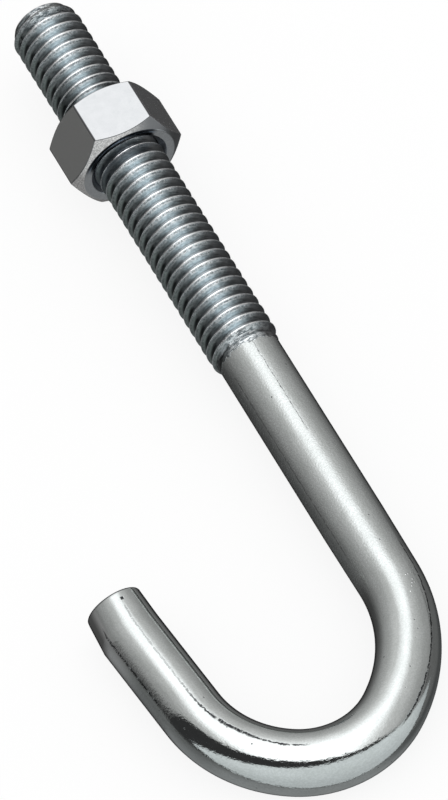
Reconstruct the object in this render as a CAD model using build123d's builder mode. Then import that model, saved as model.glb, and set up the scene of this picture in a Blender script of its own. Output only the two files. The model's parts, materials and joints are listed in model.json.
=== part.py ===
"""J bolt: a threaded rod bent round into a hook, with one hex nut on its thread.

Millimetres. The bolt lies as it comes to rest on a level surface: one flat of the nut is underneath,
and the nut's lower edge and the hook's crown carry the bolt. +X runs from the thread to the hook, +Y from
the short leg to the long one, and +Z is up. The origin is on the bolt's axis, where the full thread
starts behind the lead-in chamfer.
"""

from build123d import *

import os
from math import asin, atan2, cos, degrees, hypot, radians, sin, tan

# Thread: 3/8 in, 16 turns to the inch. The thread's form is left off, so its crests are a cylinder.
thread_diameter = 9.525
thread_pitch = 1.5875
thread_turns = 36
lead_in_length = 1.5
lead_in_depth = 0.86
runout_length = 1.9

# Rod: rolling raises the thread's crests above the rod that it is rolled from. In the bend the rod is
# a little narrower across the hook, because it stretches round the forming pin.
crest_rise = 0.53
bend_narrowing = 0.2
narrowing_length = 9.0

# Hook: the leg runs straight to the bend, which is tightest over its crown.
leg_length = 96.3
shoulder_radius = 21.7
shoulder_angle = 52.1
crown_radius = 12.4
crown_angle = 69.4
heel_radius = 16.5
heel_angle = 52.1
short_leg_length = 13.9

# Cropped end of the short leg: the shears press its outer side in, push its inner side out a little
# and leave a face that is off square, shorter at the top and longer on the outside.
crop_length = 4.75
crop_squeeze = 0.8
crop_bulge = 0.12
crop_slant = 8.0
crop_turn = 2.5
crop_edge_radius = 0.15

# Nut: 9/16 in wrench size, as made, chamfered at both ends and countersunk at both mouths.
nut_across_flats = 14.0
nut_thickness = 8.33
nut_face_inset = 0.5
nut_chamfer_angle = 33.0
nut_countersink = 0.64
nut_countersink_angle = 45.0
thread_clearance = 0.05
nut_bearing_x = 24.4

thread_length = thread_turns * thread_pitch
thread_radius = thread_diameter / 2
shank_radius = thread_radius - crest_rise
bend_half_width = shank_radius - bend_narrowing / 2

# Rest: the leg leans down towards the hook until the crown's underside meets the surface that the
# nut's lower edge stands on. A flat starts where the nut's end chamfer runs out of it.
crown_x = leg_length + shoulder_radius * sin(radians(shoulder_angle))
crown_x += crown_radius * (1 - sin(radians(shoulder_angle)))
flat_setback = nut_face_inset * tan(radians(nut_chamfer_angle))
rest_span = crown_x - (nut_bearing_x - flat_setback)
rest_height = nut_across_flats / 2
lean = atan2(rest_height, rest_span) - asin(shank_radius / hypot(rest_span, rest_height))

leg_plane = Plane(origin=(0, 0, 0), x_dir=(cos(lean), 0, -sin(lean)), z_dir=(sin(lean), 0, cos(lean)))
leg_axis = Axis(leg_plane.origin, leg_plane.x_dir)


def section_plane(point, direction):
    """Plane square to the rod, with its X towards the outside of the hook and its Y upwards."""
    return Plane(origin=point, x_dir=leg_plane.z_dir.cross(direction), z_dir=direction)


with BuildPart() as j_bolt:
    # Threaded end, runout and shank, turned about the leg's axis.
    narrowing_x = leg_length - narrowing_length
    with BuildSketch(leg_plane):
        with BuildLine():
            Polyline(
                (-lead_in_length, 0),
                (-lead_in_length, thread_radius - lead_in_depth),
                (0, thread_radius),
                (thread_length, thread_radius),
                (thread_length + runout_length, shank_radius),
                (narrowing_x, shank_radius),
                (narrowing_x, 0),
                close=True,
            )
        make_face()
    revolve(axis=leg_axis)

    # The round shank narrows into the bend's oval section.
    with BuildSketch(section_plane(leg_axis.position + leg_axis.direction * narrowing_x, leg_axis.direction)):
        Circle(shank_radius)
    with BuildSketch(section_plane(leg_axis.position + leg_axis.direction * leg_length, leg_axis.direction)):
        Ellipse(bend_half_width, shank_radius)
    loft()

    # Bend and short leg, swept along one tangent path.
    with BuildLine(leg_plane) as hook_line:
        shoulder = JernArc((leg_length, 0), (1, 0), shoulder_radius, -shoulder_angle)
        crown = JernArc(shoulder @ 1, shoulder % 1, crown_radius, -crown_angle)
        heel = JernArc(crown @ 1, crown % 1, heel_radius, -heel_angle)
        Line(heel @ 1, heel @ 1 + (heel % 1) * short_leg_length)
    with BuildSketch(section_plane(shoulder @ 0, shoulder % 0)):
        Ellipse(bend_half_width, shank_radius)
    sweep(path=hook_line.wires()[0])

    # Cropped end: from the round leg to the pressed face.
    crop_start = section_plane(heel @ 1 + (heel % 1) * short_leg_length, heel % 1)
    crop_face = crop_start.offset(crop_length).rotated((-crop_slant, -crop_turn, 0))
    with BuildSketch(crop_start):
        Ellipse(bend_half_width, shank_radius)
    with BuildSketch(crop_face):
        with Locations((-(crop_squeeze + crop_bulge) / 2, 0)):
            Ellipse(bend_half_width - (crop_squeeze - crop_bulge) / 2, shank_radius)
    loft()
    crop_rim = faces().filter_by(crop_face)[0].edges()
    fillet(crop_rim, crop_edge_radius)

with BuildPart() as hex_nut:
    # The hexagon, two of its flats level, meets a turned blank whose ends are coned off.
    nut_axis_point = leg_axis.position + leg_axis.direction * nut_bearing_x
    bearing_plane = section_plane(nut_axis_point, leg_axis.direction)
    corner_radius = nut_across_flats / 2 / cos(radians(30))
    face_radius = nut_across_flats / 2 - nut_face_inset
    chamfer_length = (corner_radius - face_radius) * tan(radians(nut_chamfer_angle))
    bore_radius = thread_radius + thread_clearance
    # However thin the wall, the countersink leaves half of it as the face's ring.
    countersink = min(nut_countersink, (face_radius - bore_radius) / 2)
    mouth_radius = bore_radius + countersink
    mouth_depth = countersink / tan(radians(nut_countersink_angle))
    with BuildSketch(bearing_plane):
        RegularPolygon(nut_across_flats / 2, 6, major_radius=False)
    extrude(amount=-nut_thickness)
    with BuildSketch(leg_plane):
        with BuildLine():
            tip_face_x = nut_bearing_x - nut_thickness
            Polyline(
                (tip_face_x, mouth_radius),
                (tip_face_x, face_radius),
                (tip_face_x + chamfer_length, corner_radius),
                (nut_bearing_x - chamfer_length, corner_radius),
                (nut_bearing_x, face_radius),
                (nut_bearing_x, mouth_radius),
                (nut_bearing_x - mouth_depth, bore_radius),
                (tip_face_x + mouth_depth, bore_radius),
                close=True,
            )
        make_face()
    revolve(axis=leg_axis, mode=Mode.INTERSECT)

j_bolt.part.label = "j_bolt"
hex_nut.part.label = "hex_nut"

os.makedirs("parts", exist_ok=True)
export_step(j_bolt.part, "parts/j_bolt.step")
export_step(hex_nut.part, "parts/hex_nut.step")

print(f"lean {degrees(lean):.4f} degrees, crown at {crown_x:.3f}")
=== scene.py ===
"""J bolt and hex nut in bright zinc plate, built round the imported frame.

Shapes are made in millimetres with the leg lying along X, then leant and scaled into the frame.
"""

import json
from math import atan2, cos, hypot, pi, radians, sin, tan

import bmesh
import bpy
from mathutils import Matrix, Quaternion, Vector, noise


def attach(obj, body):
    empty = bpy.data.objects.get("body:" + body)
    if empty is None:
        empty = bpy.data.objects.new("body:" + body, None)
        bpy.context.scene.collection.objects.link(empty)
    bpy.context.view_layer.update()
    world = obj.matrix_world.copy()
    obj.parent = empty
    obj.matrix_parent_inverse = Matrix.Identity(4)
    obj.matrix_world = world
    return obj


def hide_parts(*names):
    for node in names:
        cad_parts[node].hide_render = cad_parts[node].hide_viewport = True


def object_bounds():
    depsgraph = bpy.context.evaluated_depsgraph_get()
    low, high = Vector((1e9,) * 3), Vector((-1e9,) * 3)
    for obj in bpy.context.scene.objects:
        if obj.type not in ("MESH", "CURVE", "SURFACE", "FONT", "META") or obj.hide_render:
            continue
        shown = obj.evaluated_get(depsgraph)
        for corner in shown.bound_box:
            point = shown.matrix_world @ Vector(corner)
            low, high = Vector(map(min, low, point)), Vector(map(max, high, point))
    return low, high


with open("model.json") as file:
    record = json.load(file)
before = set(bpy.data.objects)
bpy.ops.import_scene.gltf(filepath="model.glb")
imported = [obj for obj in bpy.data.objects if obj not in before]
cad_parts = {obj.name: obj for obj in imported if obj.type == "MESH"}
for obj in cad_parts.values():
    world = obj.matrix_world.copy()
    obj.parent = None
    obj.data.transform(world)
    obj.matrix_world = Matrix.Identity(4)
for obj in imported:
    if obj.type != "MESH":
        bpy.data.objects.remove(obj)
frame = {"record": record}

cad_box = [list(corner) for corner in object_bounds()]
travel_axis = Vector(frame["record"]["behaviour"]["joints"][0]["axis"])
lean = atan2(-travel_axis.z, travel_axis.x)
metres_a_millimetre = 0.001
degrees_a_radian = 57.3

# Thread: 3/8 in, 16 turns to the inch, rolled up out of the rod.
pitch = 1.5875
crest_radius = 4.7625
root_radius = 3.789
root_half_width = 0.1325
flank_slope = tan(radians(30))
thread_length = 57.15
lead_in_length = 1.5
tip_radius = 3.9025
runout_length = 1.9
steps_a_turn = 80
bolt_turns = 40
helix_shift = 1.10
helix_start = -lead_in_length - pitch - helix_shift

# Unevenness that rolling and use leave on the thread: how deep each kind is, and the share of the
# thread's height that counts as crest.
crest_height = 0.93
wave_depth = 0.010
ripple_depth = 0.006
crest_wear = 0.035
ragged_depth = 0.20
tip_unevenness = 0.02

# Rod and hook.
shank_radius = 4.2325
bend_half_width = 4.1325
narrowing_start = 87.3
leg_length = 96.3
bends = [(21.7, 52.1), (12.4, 69.4), (16.5, 52.1)]
short_leg_length = 13.9
crop_length = 4.75
crop_squeeze = 0.8
crop_bulge = 0.12
crop_slant = 8.0
crop_turn = 2.5
crop_edge = 0.14

# Nut: 9/16 in across its flats.
half_flats = 7.0
nut_far_x = 16.07
nut_near_x = 24.4
face_radius = 6.5
chamfer_slope = tan(radians(33))
mouth_radius = 5.4525
nut_ridge_radius = 3.99
nut_groove_radius = 4.85
bore_turns = 8
blank_radius = 8.03
blank_steps = 120
mouth_gap = 0.08
sharp_angle = radians(20)
corner_rounding = 0.11
corner_merge = 0.001

# Places along the straight rod.
runout_end = thread_length + runout_length
thread_cut = runout_end + 0.2
shank_start = runout_end + 0.45
hook_length = sum(radius * radians(angle) for radius, angle in bends)
crop_start = leg_length + hook_length + short_leg_length
rod_length = crop_start + crop_length

# Colours that are used more than once, and two channels of a colour.
white = (1.0, 1.0, 1.0)
shadow = (0.04, 0.04, 0.04)
red_part = (1, 0, 0)
green_part = (0, 1, 0)


def mirrored(half):
    """One whole pitch of a thread's outline, from the half between a root's middle and a crest's."""
    far_half = [(pitch - x, radius) for x, radius in reversed(half[:-1])]
    return half + far_half


def flank_radius(x):
    """Height of the bolt's flank, at a distance along the bolt from the root's middle."""
    return root_radius + (x - root_half_width) / flank_slope


def spin_outline(mesh, outline, advance, steps, closed):
    """Spin an outline, given along and out from the leg, once round the leg."""
    points = [mesh.verts.new((x, 0, radius)) for x, radius in outline]
    lines = [mesh.edges.new(pair) for pair in zip(points, points[1:])]
    bmesh.ops.spin(
        mesh,
        geom=points + lines,
        cent=(0, 0, 0),
        axis=(1, 0, 0),
        dvec=(advance / steps, 0, 0),
        angle=2 * pi,
        steps=steps,
        use_merge=closed,
        use_duplicate=False,
    )


def spin_thread(mesh, outline, start, turns):
    """Sweep a thread's outline round the leg, one pitch further along for each turn."""
    shifted = [(start + x, radius) for x, radius in outline]
    spin_outline(mesh, shifted, pitch, steps_a_turn, closed=False)
    first_turn = mesh.verts[:] + mesh.edges[:] + mesh.faces[:]
    for turn in range(1, turns):
        copied = bmesh.ops.duplicate(mesh, geom=first_turn)["geom"]
        points = [g for g in copied if isinstance(g, bmesh.types.BMVert)]
        bmesh.ops.translate(mesh, vec=(turn * pitch, 0, 0), verts=points)
    bmesh.ops.remove_doubles(mesh, verts=mesh.verts[:], dist=0.003)


def cut_square(mesh, x, keep):
    """Cut everything square to the leg at x, and keep what is on one side of it."""
    bmesh.ops.bisect_plane(
        mesh,
        geom=mesh.verts[:] + mesh.edges[:] + mesh.faces[:],
        dist=0.0001,
        plane_co=(x, 0, 0),
        plane_no=(keep, 0, 0),
        clear_inner=True,
    )


def open_edges_at(mesh, x):
    """The open edges that lie square to the leg at x."""
    found = []
    for edge in mesh.edges:
        if edge.is_boundary and all(abs(v.co.x - x) < 0.01 for v in edge.verts):
            found.append(edge)
    return found


def set_radius(vertex, radius):
    """Move a vertex out or in, square to the leg."""
    grow = radius / hypot(vertex.co.y, vertex.co.z)
    vertex.co.y *= grow
    vertex.co.z *= grow


def eased(share):
    """A share of a change, held between none and all, with soft ends."""
    share = min(1, max(0, share))
    return share * share * (3 - 2 * share)


def ring(mesh, x, radius):
    """An open ring of edges round the leg."""
    made = bmesh.ops.create_circle(mesh, cap_ends=False, segments=steps_a_turn, radius=radius)
    upright = Matrix.Translation((x, 0, 0)) @ Matrix.Rotation(pi / 2, 4, "Y")
    bmesh.ops.transform(mesh, matrix=upright, verts=made["verts"])
    return [e for e in mesh.edges if e.is_wire]


def draw_out(mesh, edges, distances):
    """Extrude a ring along the leg, one distance after another."""
    for distance in distances:
        made = bmesh.ops.extrude_edge_only(mesh, edges=edges)["geom"]
        points = [g for g in made if isinstance(g, bmesh.types.BMVert)]
        edges = [g for g in made if isinstance(g, bmesh.types.BMEdge)]
        bmesh.ops.translate(mesh, vec=(distance, 0, 0), verts=points)
    return edges


def round_edges(mesh, edges, offset, crowded):
    """Round edges over with three small facets, which give way to each other where they are crowded."""
    bmesh.ops.bevel(
        mesh,
        geom=edges,
        offset=offset,
        offset_type="OFFSET",
        segments=3,
        profile=0.5,
        affect="EDGES",
        material=-1,
        clamp_overlap=crowded,
    )


def bend(mesh, rod, start, radius, angle):
    """Bend the rod round a forming pin, from a place along it."""
    length = radius * angle
    pin = Vector((start, -radius, 0))
    for vertex in mesh.verts:
        past = min(vertex[rod].x - start, length)
        if past > 0:
            vertex.co.x -= past
            turn = Matrix.Rotation(-past / radius, 3, "Z")
            vertex.co = pin + turn @ (vertex.co - pin)


def keep_places(mesh):
    """Keep where each point lies on the straight rod, for the zinc to follow, and return the layer."""
    rod = mesh.verts.layers.float_vector.new("rod")
    for vertex in mesh.verts:
        vertex[rod] = vertex.co
    return rod


def face_outwards(mesh):
    """Make the faces agree with each other, then turn them all outwards, as a positive volume shows."""
    bmesh.ops.recalc_face_normals(mesh, faces=mesh.faces[:])
    if mesh.calc_volume(signed=True) < 0:
        bmesh.ops.reverse_faces(mesh, faces=mesh.faces[:])


def finish_piece(mesh, name, body, node, material):
    """Put a finished mesh into the frame, riding on its body in place of its CAD node."""
    into_frame = Matrix.Rotation(lean, 4, "Y") @ Matrix.Scale(metres_a_millimetre, 4)
    bmesh.ops.transform(mesh, matrix=into_frame, verts=mesh.verts[:])
    data = bpy.data.meshes.new(name)
    mesh.to_mesh(data)
    mesh.free()
    piece = bpy.data.objects.new(name, data)
    bpy.context.scene.collection.objects.link(piece)
    data.materials.append(material)
    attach(piece, body)
    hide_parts(node)
    return piece


def roll_thread(mesh):
    """The thread, coned at the tip, worn along its crests and run out into the shank."""
    half = [(0, root_radius), (0.075, root_radius + 0.004), (0.128, root_radius + 0.028)]
    half += [(x, flank_radius(x)) for x in (0.17, 0.36, 0.55, 0.655)]
    # Rolling closes the crest from both sides, and leaves a shallow seam along its middle.
    half += [(0.676, 4.735), (0.696, 4.7575), (0.718, crest_radius), (0.748, 4.748)]
    half += [(pitch / 2, 4.715)]
    spin_thread(mesh, mirrored(half), helix_start, bolt_turns)
    cut_square(mesh, -lead_in_length, 1)
    cut_square(mesh, thread_cut, -1)
    cone = (crest_radius - tip_radius) / lead_in_length
    for vertex in mesh.verts:
        x, y, z = vertex.co
        radius = hypot(y, z)
        height = (radius - root_radius) / (crest_radius - root_radius)
        radius += wave_depth * noise.noise(vertex.co * 1.3)
        radius += ripple_depth * noise.noise(vertex.co * 4.1)
        if height > crest_height:
            radius -= crest_wear * max(0, noise.noise(Vector((x * 0.9, y * 0.5, z * 0.5))))
        run_out = eased((x - thread_length + 0.3) / runout_length)
        ragged = ragged_depth * noise.noise(vertex.co * 2.4) * run_out * (1 - run_out) * 4
        radius += (shank_radius - radius) * run_out + ragged * (1 - height)
        if x > runout_end:
            radius = shank_radius
        cone_radius = tip_radius + (x + lead_in_length) * cone
        radius = min(radius, cone_radius + tip_unevenness * noise.noise(vertex.co * 2.3))
        set_radius(vertex, radius)


def build_bolt(material):
    """One rod: rolled, drawn out straight, pressed and cropped at its end, then bent into its hook."""
    mesh = bmesh.new()
    roll_thread(mesh)
    tip = open_edges_at(mesh, -lead_in_length)
    cut_end = open_edges_at(mesh, thread_cut)
    bmesh.ops.edgeloop_fill(mesh, edges=tip)

    # The plain rod behind the thread, in runs that are each a length and its number of steps.
    shank_ring = ring(mesh, shank_start, shank_radius)
    bmesh.ops.bridge_loops(mesh, edges=cut_end + shank_ring)
    runs = [(narrowing_start - shank_start, 20), (leg_length - narrowing_start, 8)]
    runs += [(hook_length, 72), (short_leg_length, 10), (crop_length, 9)]
    distances = []
    for length, steps in runs:
        distances += [length / steps] * steps
    end_ring = draw_out(mesh, shank_ring, distances)
    end_face = bmesh.ops.edgeloop_fill(mesh, edges=end_ring)["faces"][0]
    rod = keep_places(mesh)

    # The oval of the hook, then the end that the shears press in and cut at a slant.
    for vertex in mesh.verts:
        x = vertex.co.x
        narrowed = min(1, max(0, (x - narrowing_start) / (leg_length - narrowing_start)))
        vertex.co.y *= 1 + (bend_half_width / shank_radius - 1) * narrowed
        cropped = max(0, (x - crop_start) / crop_length)
        vertex.co.y *= 1 - cropped * (crop_squeeze - crop_bulge) / 2 / bend_half_width
        vertex.co.y -= cropped * (crop_squeeze + crop_bulge) / 2
        vertex.co.x -= cropped * vertex.co.z * tan(radians(crop_slant))
        vertex.co.x += cropped * vertex.co.y * tan(radians(crop_turn))
    round_edges(mesh, end_face.edges[:], crop_edge, crowded=False)

    # The bends, from the short leg back, so that each turns everything past it.
    start = leg_length + hook_length
    for radius, angle in reversed(bends):
        start -= radius * radians(angle)
        bend(mesh, rod, start, radius, radians(angle))
    face_outwards(mesh)
    for face in mesh.faces:
        face.smooth = len(face.verts) < 5
    finish_piece(mesh, "threaded_j_rod", "bolt", "j_bolt", material)


def tap_bore():
    """The nut's tapped thread, with a countersink at each mouth, as a mesh open at both ends."""
    half = [(0, nut_ridge_radius), (0.16, nut_ridge_radius + 0.005), (0.215, 4.02)]
    half += [(x, nut_ridge_radius + (x - 0.2) / flank_slope) for x in (0.30, 0.46, 0.62)]
    half += [(0.68, 4.81), (0.72, 4.845), (pitch / 2, nut_groove_radius)]
    bore = bmesh.new()
    first_turn = int((nut_far_x - helix_start) / pitch) - 1
    spin_thread(bore, mirrored(half), helix_start + first_turn * pitch, bore_turns)
    cut_square(bore, nut_far_x, 1)
    cut_square(bore, nut_near_x, -1)
    for vertex in bore.verts:
        radius = hypot(vertex.co.y, vertex.co.z)
        depth = min(vertex.co.x - nut_far_x, nut_near_x - vertex.co.x)
        if radius < mouth_radius - depth:
            set_radius(vertex, mouth_radius - depth)
    tapped = bpy.data.meshes.new("tapped_bore")
    bore.to_mesh(tapped)
    bore.free()
    return tapped


def build_nut(material):
    """The hex nut: a coned blank cut down to six flats, its edges rounded, and its bore tapped."""
    mesh = bmesh.new()

    # A turned blank, coned at both ends, and just small enough to blunt the hexagon's corners.
    cone_depth = (blank_radius - face_radius) * chamfer_slope
    inner_radius = mouth_radius + mouth_gap
    outline = [(nut_far_x, inner_radius), (nut_far_x, face_radius)]
    outline += [(nut_far_x + cone_depth, blank_radius), (nut_near_x - cone_depth, blank_radius)]
    outline += [(nut_near_x, face_radius), (nut_near_x, inner_radius)]
    spin_outline(mesh, outline, 0, blank_steps, closed=True)

    # Six flats cut it down to the hexagon, two of them level.
    for side in range(6):
        outwards = Vector((0, sin(side * pi / 3), cos(side * pi / 3)))
        made = bmesh.ops.bisect_plane(
            mesh,
            geom=mesh.verts[:] + mesh.edges[:] + mesh.faces[:],
            dist=0.0001,
            plane_co=outwards * half_flats,
            plane_no=outwards,
            clear_outer=True,
        )["geom_cut"]
        rim = [g for g in made if isinstance(g, bmesh.types.BMEdge)]
        bmesh.ops.edgeloop_fill(mesh, edges=[e for e in rim if e.is_boundary])
    bmesh.ops.recalc_face_normals(mesh, faces=mesh.faces[:])
    corners = [e for e in mesh.edges if e.is_manifold and e.calc_face_angle(0) > sharp_angle]
    round_edges(mesh, corners, corner_rounding, crowded=True)
    bmesh.ops.remove_doubles(mesh, verts=mesh.verts[:], dist=corner_merge)

    # The tapped bore joins the two faces.
    tapped = tap_bore()
    mesh.from_mesh(tapped)
    bpy.data.meshes.remove(tapped)
    for x in (nut_far_x, nut_near_x):
        bmesh.ops.bridge_loops(mesh, edges=open_edges_at(mesh, x))
    face_outwards(mesh)
    keep_places(mesh)
    for face in mesh.faces:
        face.smooth = True
    nut = finish_piece(mesh, "threaded_hex_nut", "nut", "hex_nut", material)
    firm = nut.modifiers.new("large_faces_lead", "WEIGHTED_NORMAL")
    firm.mode = "FACE_AREA_WITH_ANGLE"
    firm.weight = 90
    firm.keep_sharp = True


class Wiring:
    """Short ways to add and join the nodes of one material or of the air."""

    def __init__(self, tree):
        self.nodes = tree.nodes
        self.links = tree.links
        self.nodes.clear()

    def node(self, kind, *inputs, **settings):
        """A node with its settings, and its first inputs joined to sockets or set to values."""
        made = self.nodes.new("ShaderNode" + kind)
        for name, value in settings.items():
            setattr(made, name, value)
        for socket, value in zip(made.inputs, inputs):
            self.feed(socket, value)
        return made

    def feed(self, socket, value):
        """Join a socket to another one, or set it to a value."""
        if isinstance(value, bpy.types.NodeSocket):
            self.links.new(value, socket)
        elif value is not None:
            socket.default_value = value

    def math(self, operation, *values):
        """One or more values put through an operation, from the first to the last."""
        total = values[0]
        if len(values) == 1:
            return self.node("Math", total, operation=operation).outputs[0]
        for value in values[1:]:
            total = self.node("Math", total, value, operation=operation).outputs[0]
        return total

    def sum(self, *values):
        return self.math("ADD", *values)

    def less(self, a, b):
        return self.math("SUBTRACT", a, b)

    def times(self, *values):
        return self.math("MULTIPLY", *values)

    def over(self, a, b):
        return self.math("DIVIDE", a, b)

    def power(self, a, b):
        return self.math("POWER", a, b)

    def most(self, *values):
        return self.math("MAXIMUM", *values)

    def size(self, a):
        return self.math("ABSOLUTE", a)

    def wrap(self, value, half):
        """A value that starts again each time it leaves the span to either side of none."""
        return self.node("Math", value, half, -half, operation="WRAP").outputs[0]

    def split(self, place):
        """The three coordinates of a place or direction."""
        return self.node("SeparateXYZ", place).outputs

    def along(self, place, direction):
        """How far a place or direction lies along a fixed one."""
        return self.node("VectorMath", place, direction, operation="DOT_PRODUCT").outputs["Value"]

    def stretch(self, place, scale):
        """Coordinates scaled along each axis."""
        return self.node("VectorMath", place, scale, operation="MULTIPLY").outputs[0]

    def from_middle(self, place):
        """Distance from the line of the leg."""
        square_to_leg = self.stretch(place, (0, 1, 1))
        return self.node("VectorMath", square_to_leg, operation="LENGTH").outputs["Value"]

    def rise(self, value, start, end, low=0.0, high=1.0):
        """A soft step from low to high as the value passes from start to end."""
        made = self.node("MapRange", value, start, end, low, high, interpolation_type="SMOOTHSTEP")
        return made.outputs[0]

    def rise_evenly(self, value, start, end):
        """A straight rise from none to one as the value passes from start to end."""
        return self.node("MapRange", value, start, end, 0, 1).outputs[0]

    def near(self, value, middle, reach, core):
        """All of it within the core on both sides of a middle value, and none beyond the reach."""
        return self.rise(self.size(self.less(value, middle)), reach, core)

    def span(self, value, start, end, soft):
        """All of it between start and end, with soft edges inside them."""
        return self.times(self.rise(value, start, start + soft), self.rise(value, end, end - soft))

    def stops(self, value, levels):
        """A run of greys over a value between none and one."""
        made = self.node("ValToRGB", value)
        while len(made.color_ramp.elements) < len(levels):
            made.color_ramp.elements.new(0.5)
        for stop, (position, tone) in zip(made.color_ramp.elements, levels):
            stop.position = position
            stop.color = (tone, tone, tone, 1)
        return made.outputs["Color"]

    def mix(self, share, a, b):
        """Two colours mixed by a share."""
        made = self.node("Mix", data_type="RGBA")
        self.feed(made.inputs[0], share)
        self.feed(made.inputs[6], a if not isinstance(a, tuple) else (*a, 1))
        self.feed(made.inputs[7], b if not isinstance(b, tuple) else (*b, 1))
        return made.outputs[2]

    def grain(self, place, scale, detail=3.0, roughness=0.55):
        """Soft noise, between none and one, with so many waves a millimetre."""
        made = self.node("TexNoise", place)
        made.inputs["Scale"].default_value = scale
        made.inputs["Detail"].default_value = detail
        made.inputs["Roughness"].default_value = roughness
        return made.outputs["Fac"]

    def spots(self, place, scale, reach, core, channel, left_out):
        """Spots about scattered points, thinned out by one channel of the points' chance colours."""
        cells = self.node("TexVoronoi", place)
        cells.inputs["Scale"].default_value = scale
        kept = self.rise(self.along(cells.outputs["Color"], channel), *left_out)
        return self.times(self.rise(cells.outputs["Distance"], reach, core), kept)

    def relief(self, shader, height):
        """Raise a surface by a height in millimetres."""
        bump = self.node("Bump")
        bump.inputs["Strength"].default_value = 1
        bump.inputs["Distance"].default_value = metres_a_millimetre
        self.links.new(height, bump.inputs["Height"])
        self.links.new(bump.outputs[0], shader.inputs["Normal"])


def zinc(name):
    """A new material, its wiring, and its plated-metal shader."""
    material = bpy.data.materials.new(name)
    material.use_nodes = True
    wiring = Wiring(material.node_tree)
    shader = wiring.node("BsdfPrincipled")
    shader.inputs["Metallic"].default_value = 1
    out = wiring.node("OutputMaterial")
    wiring.links.new(shader.outputs[0], out.inputs["Surface"])
    return material, wiring, shader


class RodPlace:
    """Where a point lies on the straight rod: along it, its turn in degrees, and its distance out.

    The turn is none along the top, and grows towards the outside of the hook. Upper is all of it over
    the top and sides, and fades out underneath, where the turn jumps.
    """

    def __init__(self, w):
        self.place = w.node("Attribute", attribute_name="rod").outputs["Vector"]
        self.x, y, z = w.split(self.place)
        self.turn = w.times(w.math("ARCTAN2", y, z), degrees_a_radian)
        self.radius = w.from_middle(self.place)
        self.upper = w.rise(w.size(self.turn), 150, 110)


def dashes(w, at, path, width, start, end):
    """A broken dark line along the rod: how strong it is at each point."""
    broken = w.rise(w.grain(w.stretch(at.place, (1, 0, 0)), 1.1, 4, 0.8), 0.40, 0.50)
    frayed = w.times(w.less(w.grain(at.place, 2.2, 3), 0.5), 7)
    line = w.near(w.sum(at.turn, frayed), path, width, width * 0.4)
    return w.times(line, broken, w.span(at.x, start, end, 2))


def rolling_seams(w, at):
    """Dark seams along the rod, and one nick by its cropped end."""
    # The hook's seam wanders to and fro as it goes round the heel and up the short leg.
    wander = [(0, 0.60), (0.15, 0.60), (0.28, 0.44), (0.38, 0.50), (0.55, 0.58), (0.75, 0.56), (1, 0.30)]
    hook_path = w.stops(w.rise_evenly(at.x, 126.3, 166.3), wander)
    hook_path = w.sum(w.times(hook_path, 20), -14)
    hook_seam = dashes(w, at, hook_path, width=2.2, start=128.5, end=163.5)
    hook_seam = w.times(hook_seam, w.rise(at.x, 150, 143, 0.35, 1))
    heel_seam = dashes(w, at, w.less(hook_path, 0.6), width=4.2, start=135, end=143)
    shank_seam = dashes(w, at, path=4.5, width=1.1, start=58, end=75)
    shank_seam = w.times(shank_seam, w.rise(w.grain(at.place, 3.5, 2), 0.44, 0.56, 0.25, 0.75))
    shoulder_seam = w.times(dashes(w, at, path=46, width=2.4, start=93, end=119), 0.95)
    pressed_seam = w.times(dashes(w, at, path=55, width=3.0, start=147, end=162), 0.8)
    nick = w.times(w.near(at.x, 163.3, 0.35, 0.15), w.near(at.turn, -8, 4, 2))
    return w.most(hook_seam, heel_seam, shank_seam, shoulder_seam, pressed_seam, nick)


def satin_rod(w, at, mottle):
    """The plain rod's satin, with painted shade low on its outer side and a painted highlight on the facet
    that the shears pressed.
    """
    satin = w.mix(w.rise(mottle, 0.3, 0.7), (0.605, 0.632, 0.618), (0.665, 0.69, 0.68))
    grainy = w.rise(w.grain(at.place, 4.2, 3, 0.7), 0.62, 0.40, 0, 0.20)
    satin = w.mix(grainy, satin, (0.30, 0.305, 0.295))
    # Painted shade low on the outer side of the bend and of the heel.
    low_side_shade = w.times(w.rise(at.turn, 44, 48), at.upper, w.rise(at.turn, 66, 46, 0.26, 0.52))
    low_side_shade = w.times(low_side_shade, w.rise(at.x, 118, 112), w.rise(at.x, 82, 94, 0.25, 1))
    heel_side_shade = w.times(w.rise(at.turn, 60, 68), at.upper, w.rise(at.x, 137, 141))
    heel_side_shade = w.times(heel_side_shade, w.rise(at.x, 156, 150), 0.32)
    satin = w.mix(w.most(low_side_shade, heel_side_shade), satin, (0.20, 0.205, 0.205))
    # A painted highlight on the facet that the shears pressed.
    pressed = w.times(w.rise(at.turn, 44, 56), at.upper, w.rise(at.x, 152, 158), 0.75)
    return w.mix(pressed, satin, white)


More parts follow.
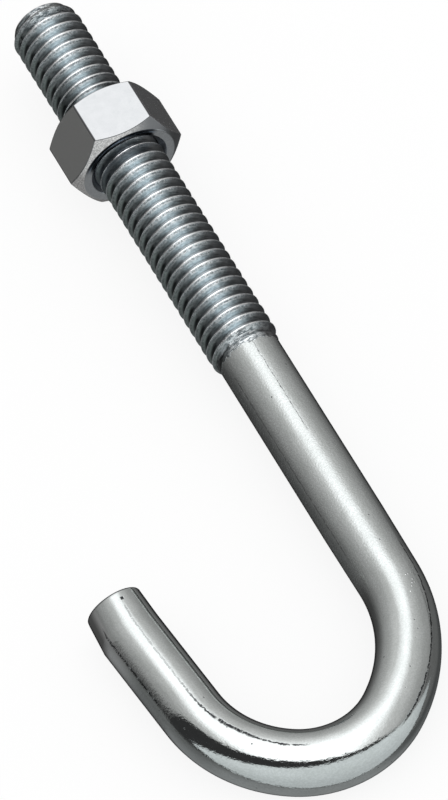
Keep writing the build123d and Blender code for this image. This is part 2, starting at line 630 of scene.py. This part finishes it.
def rolled_thread(w, at):
    """The thread's colour, with painted light along its top and painted shade at its sides and roots, and
    masks of its crests and of its torn start and end.
    """
    lead = w.sum(w.less(at.x, helix_start + pitch / 2), w.times(at.turn, pitch / 360))
    past_crest = w.wrap(lead, pitch / 2)
    lit_top = w.near(at.turn, -8, 50, 10)
    patchy = w.rise(w.grain(w.stretch(at.place, (2.2, 0.55, 0.55)), 3.2, 4, 0.75), 0.40, 0.60)

    # Painted shade on the flanks away from the lit top: deepest towards the short leg, and dark towards the
    # other side.
    dull = w.mix(patchy, (0.20, 0.215, 0.22), (0.34, 0.36, 0.365))
    shaded = w.mix(w.rise(at.radius, 4.15, 4.5), (0.03, 0.033, 0.033), (0.24, 0.27, 0.26))
    dull = w.mix(w.times(w.rise(at.turn, -50, -66), at.upper), dull, shaded)
    dull = w.mix(w.times(w.rise(at.turn, 22, 40), at.upper), dull, (0.13, 0.13, 0.132))

    # Painted light along the top of the flanks, brighter near their crests, with painted shade in dark dots
    # below the crests and in the roots.
    low_flank = w.mix(patchy, (0.42, 0.48, 0.505), (0.66, 0.74, 0.77))
    high_flank = w.mix(patchy, (0.56, 0.625, 0.65), white)
    lit_flank = w.mix(w.rise(at.radius, 4.20, 4.50), low_flank, high_flank)
    flank = w.mix(lit_top, dull, lit_flank)
    # Painted shade in dark dots just below each crest and in the roots.
    shade_under_crest = w.times(w.rise(past_crest, 0.10, 0.15), w.rise(past_crest, 0.30, 0.22))
    dotted = w.rise(w.grain(at.place, 4.0, 3, 0.7), 0.46, 0.54)
    flank = w.mix(w.times(shade_under_crest, dotted, 0.65), flank, (0.08, 0.085, 0.09))
    root = w.times(w.rise(at.radius, 4.02, 3.84), w.less(1, w.times(lit_top, 0.45)))
    flank = w.mix(root, flank, (0.15, 0.155, 0.16))

    # Darker beside the nut's face.
    darker_by_nut = w.times(w.rise(at.x, nut_near_x + 2.5, nut_near_x + 1), w.rise(at.turn, 45, 25))
    darker_by_nut = w.times(darker_by_nut, w.rise(at.x, nut_near_x - 0.8, nut_near_x + 0.2), 0.8)
    flank = w.mix(darker_by_nut, flank, (0.05, 0.058, 0.07))

    # Crests rubbed bright, with a painted highlight strongest along the lit top, and torn steel where the
    # thread starts and runs out, painted with bright glints mostly along the lit top.
    crest = w.times(w.near(past_crest, 0, 0.12, 0.08), w.rise(at.radius, 4.60, 4.68))
    crest_wear_and_sheen = w.times(crest, w.rise(w.grain(at.place, 2.6, 4, 0.7), 0.38, 0.52, 0.25, 1))
    wear_and_light = w.mix(crest_wear_and_sheen, flank, w.mix(lit_top, (0.66, 0.68, 0.69), (0.98, 0.98, 0.98)))
    torn = w.most(w.rise(at.x, 1.9, 0.3), w.rise(at.x, thread_length - 0.55, thread_length + 0.15))
    shreds = w.rise(w.grain(w.stretch(at.place, (3.2, 0.7, 0.7)), 1.6, 4, 0.75), 0.47, 0.55)
    shreds = w.mix(shreds, (0.05, 0.055, 0.06), (0.98, 1.0, 1.0))
    wear_and_light = w.mix(w.times(torn, w.sum(0.12, w.times(lit_top, 0.55))), wear_and_light, shreds)
    return wear_and_light, crest, torn


def rod_zinc():
    """Zinc over the rolled rod: dark and rough in the thread, with painted light and shade there, satin on
    the shank, bright round the bend.
    """
    material, w, shader = zinc("rod_zinc")
    at = RodPlace(w)
    ragged_edge = w.sum(at.x, w.times(w.less(w.grain(at.place, 1.6, 4, 0.7), 0.5), 2.2))
    threaded = w.rise(ragged_edge, runout_end - 0.35, runout_end + 0.05, 1, 0)
    bent = w.rise(at.x, leg_length - 4.3, leg_length + 7.7)
    outside = w.times(w.rise(at.x, 112, 126), w.rise(at.x, 152, 145), w.rise(at.turn, 12, 26), at.upper)
    mottle = w.grain(w.stretch(at.place, (0.35, 1, 1)), 0.9, 4)

    # Plain rod: satin, with seams, a few pits, and a patch of bright specks where the bend starts.
    satin = satin_rod(w, at, mottle)
    seams = rolling_seams(w, at)
    stain = w.times(dashes(w, at, path=-60, width=1.8, start=60, end=94), 0.45)
    pit = w.times(w.spots(at.place, 0.75, 0.10, 0.05, red_part, (0.72, 0.74)), w.less(1, threaded))
    satin = w.mix(w.most(seams, stain, w.times(pit, 0.8)), satin, (0.035, 0.036, 0.04))
    speck = w.spots(at.place, 2.2, 0.30, 0.14, green_part, (0.30, 0.34))
    speck = w.times(speck, w.span(at.x, 97.5, 103.5, 2), w.span(at.turn, 14, 32, 5))
    satin = w.mix(speck, satin, white)

    # The thread joins it, then a painted dark line of shade round the cropped end, and the bare end faces.
    wear_and_light, crest, torn = rolled_thread(w, at)
    plated = w.mix(threaded, satin, wear_and_light)
    rim_shade_line = w.times(w.rise(at.x, rod_length - 0.30, rod_length - 0.18), 0.85)
    plated = w.mix(rim_shade_line, plated, (0.06, 0.062, 0.064))
    tip_face = w.rise(at.x, -lead_in_length + 0.03, -lead_in_length + 0.01)
    cropped_face = w.rise(at.x, rod_length - 0.09, rod_length - 0.06)
    end_face = w.most(tip_face, cropped_face)
    torn_steel = w.rise(w.grain(w.stretch(at.place, (1, 0.5, 2.2)), 1.6, 4, 0.65), 0.38, 0.62)
    bare = w.mix(torn_steel, (0.34, 0.345, 0.345), (0.56, 0.565, 0.57))
    w.links.new(w.mix(end_face, plated, bare), shader.inputs["Base Color"])

    # Smoothest round the bend and on the crests, roughest on the flanks and the end faces.
    gloss = w.sum(w.times(bent, -0.095), w.times(threaded, w.sum(0.13, w.times(crest, -0.13))), 0.185)
    gloss = w.sum(gloss, w.times(w.less(mottle, 0.5), 0.12))
    gloss = w.sum(w.less(gloss, w.times(outside, 0.035)), w.times(end_face, 0.15))
    w.links.new(gloss, shader.inputs["Roughness"])

    # Relief: fine grain and drawing lines all over, then what each place adds to them.
    fine = w.grain(at.place, 3.8, 3, 0.65)
    drawn = w.grain(w.stretch(at.place, (0.12, 1, 1)), 7, 3, 0.6)
    peel = w.grain(w.stretch(at.place, (0.55, 1, 1)), 3.2, 2, 0.6)
    rolled = w.grain(w.stretch(at.place, (9, 0.7, 0.7)), 1, 3, 0.65)
    height = w.sum(w.times(fine, w.sum(0.026, w.times(bent, -0.019))), w.times(drawn, 0.002))
    height = w.sum(height, w.times(w.grain(at.place, 6.0, 3), threaded, 0.005))
    height = w.sum(height, w.times(rolled, threaded, w.sum(0.030, w.times(crest, -0.022))))
    height = w.sum(height, w.times(w.grain(at.place, 3.4, 3), torn, threaded, 0.07))
    height = w.sum(height, w.times(peel, outside, 0.016))
    height = w.sum(height, w.times(speck, 0.06))
    height = w.sum(height, w.times(torn_steel, end_face, 0.03))
    height = w.sum(height, w.times(w.most(seams, pit), -0.02))
    w.relief(shader, height)
    return material


def nut_zinc():
    """Zinc over the formed nut: smooth flats with painted dark edges, and rougher speckled chamfers."""
    material, w, shader = zinc("nut_zinc")
    rod = w.node("Attribute", attribute_name="rod").outputs["Vector"]
    x, y, z = w.split(rod)
    radius = w.from_middle(rod)
    turn = w.math("ARCTAN2", y, z)
    to_flat = w.wrap(turn, radians(30))
    height_here = w.times(radius, w.math("COSINE", to_flat))
    from_end = w.math("MINIMUM", w.less(x, nut_far_x), w.less(nut_near_x, x))
    to_cone = w.less(w.sum(w.times(from_end, 1 / chamfer_slope), face_radius), radius)
    on_flat = w.rise(height_here, half_flats - 0.09, half_flats - 0.04)
    off_face = w.rise(from_end, 0.03, 0.06)

    # Flats: the top one is smeared; painted light makes the side flats lighter than the top one, and those
    # on the hook's outer side the brightest.
    smears = w.rise(w.grain(w.stretch(rod, (1, 1, 0.6)), 1.6, 5, 0.65), 0.56, 0.72)
    mottle = w.rise(w.grain(rod, 0.9, 4), 0.3, 0.7)
    flat = w.mix(mottle, (0.555, 0.565, 0.572), (0.585, 0.593, 0.60))
    flat = w.mix(w.times(smears, 0.35), flat, (0.49, 0.51, 0.525))
    flat = w.mix(w.rise(w.size(turn), radians(29), radians(31)), flat, (0.64, 0.645, 0.635))
    flat = w.mix(w.rise(turn, radians(29), radians(31)), flat, (0.97, 0.97, 0.98))

    # Chamfers, speckled by the tool and with painted shade towards the hook's outer side, and the bearing
    # face, with a painted reflection of the thread round its mouth, dark with a bluish painted highlight
    # ring.
    speckle = w.rise(w.grain(rod, 5.0, 3, 0.65), 0.38, 0.64)
    turned = w.mix(speckle, (0.48, 0.46, 0.45), (0.88, 0.855, 0.835))
    turned = w.mix(w.rise(turn, radians(-8), radians(32)), turned, (0.22, 0.22, 0.225))
    face = w.mix(w.rise(w.grain(rod, 3.0, 3), 0.3, 0.7), (0.46, 0.47, 0.48), (0.54, 0.55, 0.56))
    thread_reflection = w.times(w.rise(turn, radians(-78), radians(-60)), w.rise(turn, radians(46), radians(34)))
    reflected_highlight_ring = w.near(radius, 6.08, 0.16, 0.04)
    face = w.mix(thread_reflection, face, w.mix(reflected_highlight_ring, (0.05, 0.055, 0.065), (0.25, 0.31, 0.38)))

    # Painted dark lines of shade along the edges of the flats, and the dull bore.
    colour = w.mix(on_flat, w.mix(off_face, face, turned), flat)
    corner_shade_line = w.rise(radius, 7.985, 8.015)
    end_shade_line = w.times(on_flat, w.rise(to_cone, 0.13, 0.04))
    colour = w.mix(w.times(w.most(corner_shade_line, end_shade_line), 0.85), colour, (0.05, 0.05, 0.055))
    bore = w.rise(radius, mouth_radius + 0.02, mouth_radius - 0.05)
    colour = w.mix(bore, colour, (0.30, 0.32, 0.35))
    w.links.new(colour, shader.inputs["Base Color"])

    rough = w.rise(from_end, 0.03, 0.06, 0.14, 0.30)
    w.links.new(w.sum(w.times(on_flat, -0.10), rough), shader.inputs["Roughness"])
    coarse = w.times(w.grain(rod, 6, 3), w.less(1, on_flat), 0.008)
    w.relief(shader, w.sum(w.times(w.grain(rod, 3, 3), 0.003), coarse))
    return material


def tent_walls(w, way):
    """The walls of the tent, bright above and dull below, with another wall beyond the tip."""
    x, y, z = w.split(way)
    around = w.node("VectorMath", w.stretch(way, (0, 1, 1)), operation="NORMALIZE").outputs[0]
    up = w.rise_evenly(w.along(around, (0, 0.105, 0.995)), -1, 1)
    walls = [(0.0, 0.06), (0.14, 0.065), (0.25, 0.12), (0.38, 0.215), (0.50, 0.27), (0.54, 0.33)]
    walls += [(0.655, 0.41), (0.78, 0.49), (0.883, 0.66), (0.957, 0.80), (1, 0.90)]
    end_wall = [(0, 0.04), (0.30, 0.12), (0.35, 0.17), (0.415, 0.23), (0.45, 0.30), (0.51, 0.38)]
    end_wall += [(0.567, 0.44), (0.70, 0.58), (0.82, 0.85), (1, 1)]
    end_wall = w.stops(w.rise_evenly(z, -1, 1), end_wall)
    far_corner = w.times(w.rise(y, 0.0, 0.25), w.rise(z, 0.05, 0.0))
    end_wall = w.mix(far_corner, end_wall, (0.15, 0.15, 0.15))
    room = w.mix(w.rise(x, -0.62, -0.86), w.stops(up, walls), end_wall)
    shade = w.times(w.rise(y, 0.05, 0.5), w.rise(z, -0.48, -0.68))
    return w.mix(shade, room, (0.025, 0.026, 0.027))


def lay_bench(w, way, room):
    """The bench, paler towards the hook's side, with thin dark edges and the darkest place behind it."""
    x, y, z = w.split(way)
    bench = w.times(w.rise(x, -0.52, -0.34), w.rise(z, -0.09, -0.17))
    bench = w.times(bench, w.rise(y, 0.75, 0.2, 0.25, 1))
    top = w.mix(w.rise(z, -0.15, -0.8), (0.17, 0.175, 0.175), (0.30, 0.31, 0.315))
    room = w.mix(bench, room, top)
    slope = w.sum(0.01, w.times(x, -0.21))
    far_edge = w.times(w.near(z, slope, 0.035, 0.012), w.rise(y, 0.6, 0.8))
    near_edge = w.times(w.near(z, -0.06, 0.07, 0.02), w.rise(y, -0.6, -0.8))
    edges = w.times(w.most(far_edge, near_edge), w.rise(x, -0.50, -0.42), 0.85)
    room = w.mix(edges, room, shadow)
    behind = w.rise(w.along(way, (-0.531, 0.208, -0.8215)), 0.80, 0.94)
    return w.mix(w.times(behind, 0.6), room, (0.012, 0.012, 0.012))


def hang_light(w, way, room):
    """The soft light above: a long panel with rounded ends and a faded rim."""
    x, y, z = w.split(way)
    forward = w.sum(x, 0.5)
    half_width = w.sum(w.times(forward, 0.22), 0.37)
    off_middle = w.size(w.sum(w.less(y, 0.08), w.times(forward, 0.25)))
    aside = w.over(off_middle, half_width)
    ahead = w.over(w.size(w.less(x, 0.10)), 0.75)
    from_panel = w.power(w.sum(w.power(aside, 3), w.power(ahead, 3)), 1 / 3)
    light = w.times(w.rise(from_panel, 1.25, 0.55), w.rise(z, 0, 0.2))
    return w.mix(light, room, (1.85, 1.87, 1.90))


def leave_gap(w, way, room):
    """The dark gap in the tent, between the soft light and the pale wall."""
    x, _, z = w.split(way)
    edge_ahead = w.rise(w.along(way, (0.642, -0.467, -0.608)), -0.175, -0.135)
    edge_aside = w.rise(w.along(way, (0.35, -1, 0)), 0.60, 0.655)
    edge_end = w.rise(w.less(x, w.times(w.power(z, 2), 0.25)), -0.38, -0.34)
    gap = w.times(w.most(edge_ahead, edge_aside), edge_end, w.rise(z, -0.32, -0.12))
    return w.mix(gap, room, (0.042, 0.042, 0.043))


def stand_wall(w, way, room):
    """The pale wall past the hook, with a dark line along its foot."""
    x, _, z = w.split(way)
    below_top = w.along(way, (0.743, -0.164, -0.649))
    above_foot = w.along(way, (0.624, 0.0, 0.782))
    wall = w.times(w.rise(below_top, 0.115, 0.155), w.rise(above_foot, -0.075, -0.055))
    wall = w.times(wall, w.rise(x, -0.10, 0.0))
    pale = w.mix(w.rise(z, -0.6, 0.4), (0.63, 0.665, 0.68), (0.86, 0.905, 0.92))
    room = w.mix(wall, room, pale)
    foot_line = w.times(w.near(above_foot, -0.085, 0.030, 0.012), w.rise(x, -0.05, 0.05))
    foot_line = w.times(foot_line, w.rise(below_top, 0.2, 0.3), 0.85)
    return w.mix(foot_line, room, shadow)


def put_up_tent():
    """The soft tent of light that the plating reflects. Everything else is lit by plain white air."""
    world = bpy.data.worlds.new("soft_tent")
    bpy.context.scene.world = world
    world.use_nodes = True
    world.cycles.sampling_method = "NONE"
    w = Wiring(world.node_tree)
    way = w.node("TexCoord").outputs["Generated"]
    room = tent_walls(w, way)
    room = lay_bench(w, way, room)
    room = hang_light(w, way, room)
    room = leave_gap(w, way, room)
    room = stand_wall(w, way, room)
    reflected = w.node("LightPath").outputs["Is Glossy Ray"]
    air = w.node("Background", w.mix(reflected, white, room))
    out = w.node("OutputWorld")
    w.links.new(air.outputs[0], out.inputs["Surface"])


def lay_floor():
    """A plain pale floor, level with the lowest point of the bolt and nut."""
    mesh = bmesh.new()
    bmesh.ops.create_grid(mesh, x_segments=1, y_segments=1, size=3)
    bmesh.ops.translate(mesh, vec=(0, 0, cad_box[0][2]), verts=mesh.verts[:])
    data = bpy.data.meshes.new("floor")
    mesh.to_mesh(data)
    mesh.free()
    floor = bpy.data.objects.new("floor", data)
    bpy.context.scene.collection.objects.link(floor)
    paint = bpy.data.materials.new("pale_floor")
    paint.use_nodes = True
    w = Wiring(paint.node_tree)
    glow = w.node("Emission", (1, 1, 1, 1))
    matt = w.node("BsdfDiffuse", (1, 1, 1, 1))
    blend = w.node("MixShader", 0.15, glow.outputs[0], matt.outputs[0])
    out = w.node("OutputMaterial")
    w.links.new(blend.outputs[0], out.inputs["Surface"])
    data.materials.append(paint)
    floor.visible_glossy = False


def set_camera():
    """A long lens, from above and beyond the hook."""
    low, high = (Vector(corner) for corner in cad_box)
    off_centre = Vector((0.00396, 0.00787, -0.00057))
    aim = (low + high) / 2 + off_centre
    azimuth = radians(68.64)
    elevation = radians(55.247)
    roll = radians(-6.831)
    distance = 0.88656
    back = Vector((sin(azimuth) * cos(elevation), -cos(azimuth) * cos(elevation), sin(elevation)))
    lens = bpy.data.cameras.new("long_lens")
    lens.lens = 315
    lens.sensor_width = 36
    lens.clip_start = 0.02
    lens.clip_end = 20
    camera = bpy.data.objects.new("camera", lens)
    bpy.context.scene.collection.objects.link(camera)
    camera.location = aim + back * distance
    camera.rotation_mode = "QUATERNION"
    camera.rotation_quaternion = (-back).to_track_quat("-Z", "Y") @ Quaternion((0, 0, 1), roll)
    bpy.context.scene.camera = camera


bpy.context.scene.view_settings.view_transform = "Standard"
build_bolt(rod_zinc())
build_nut(nut_zinc())
put_up_tent()
lay_floor()
set_camera()
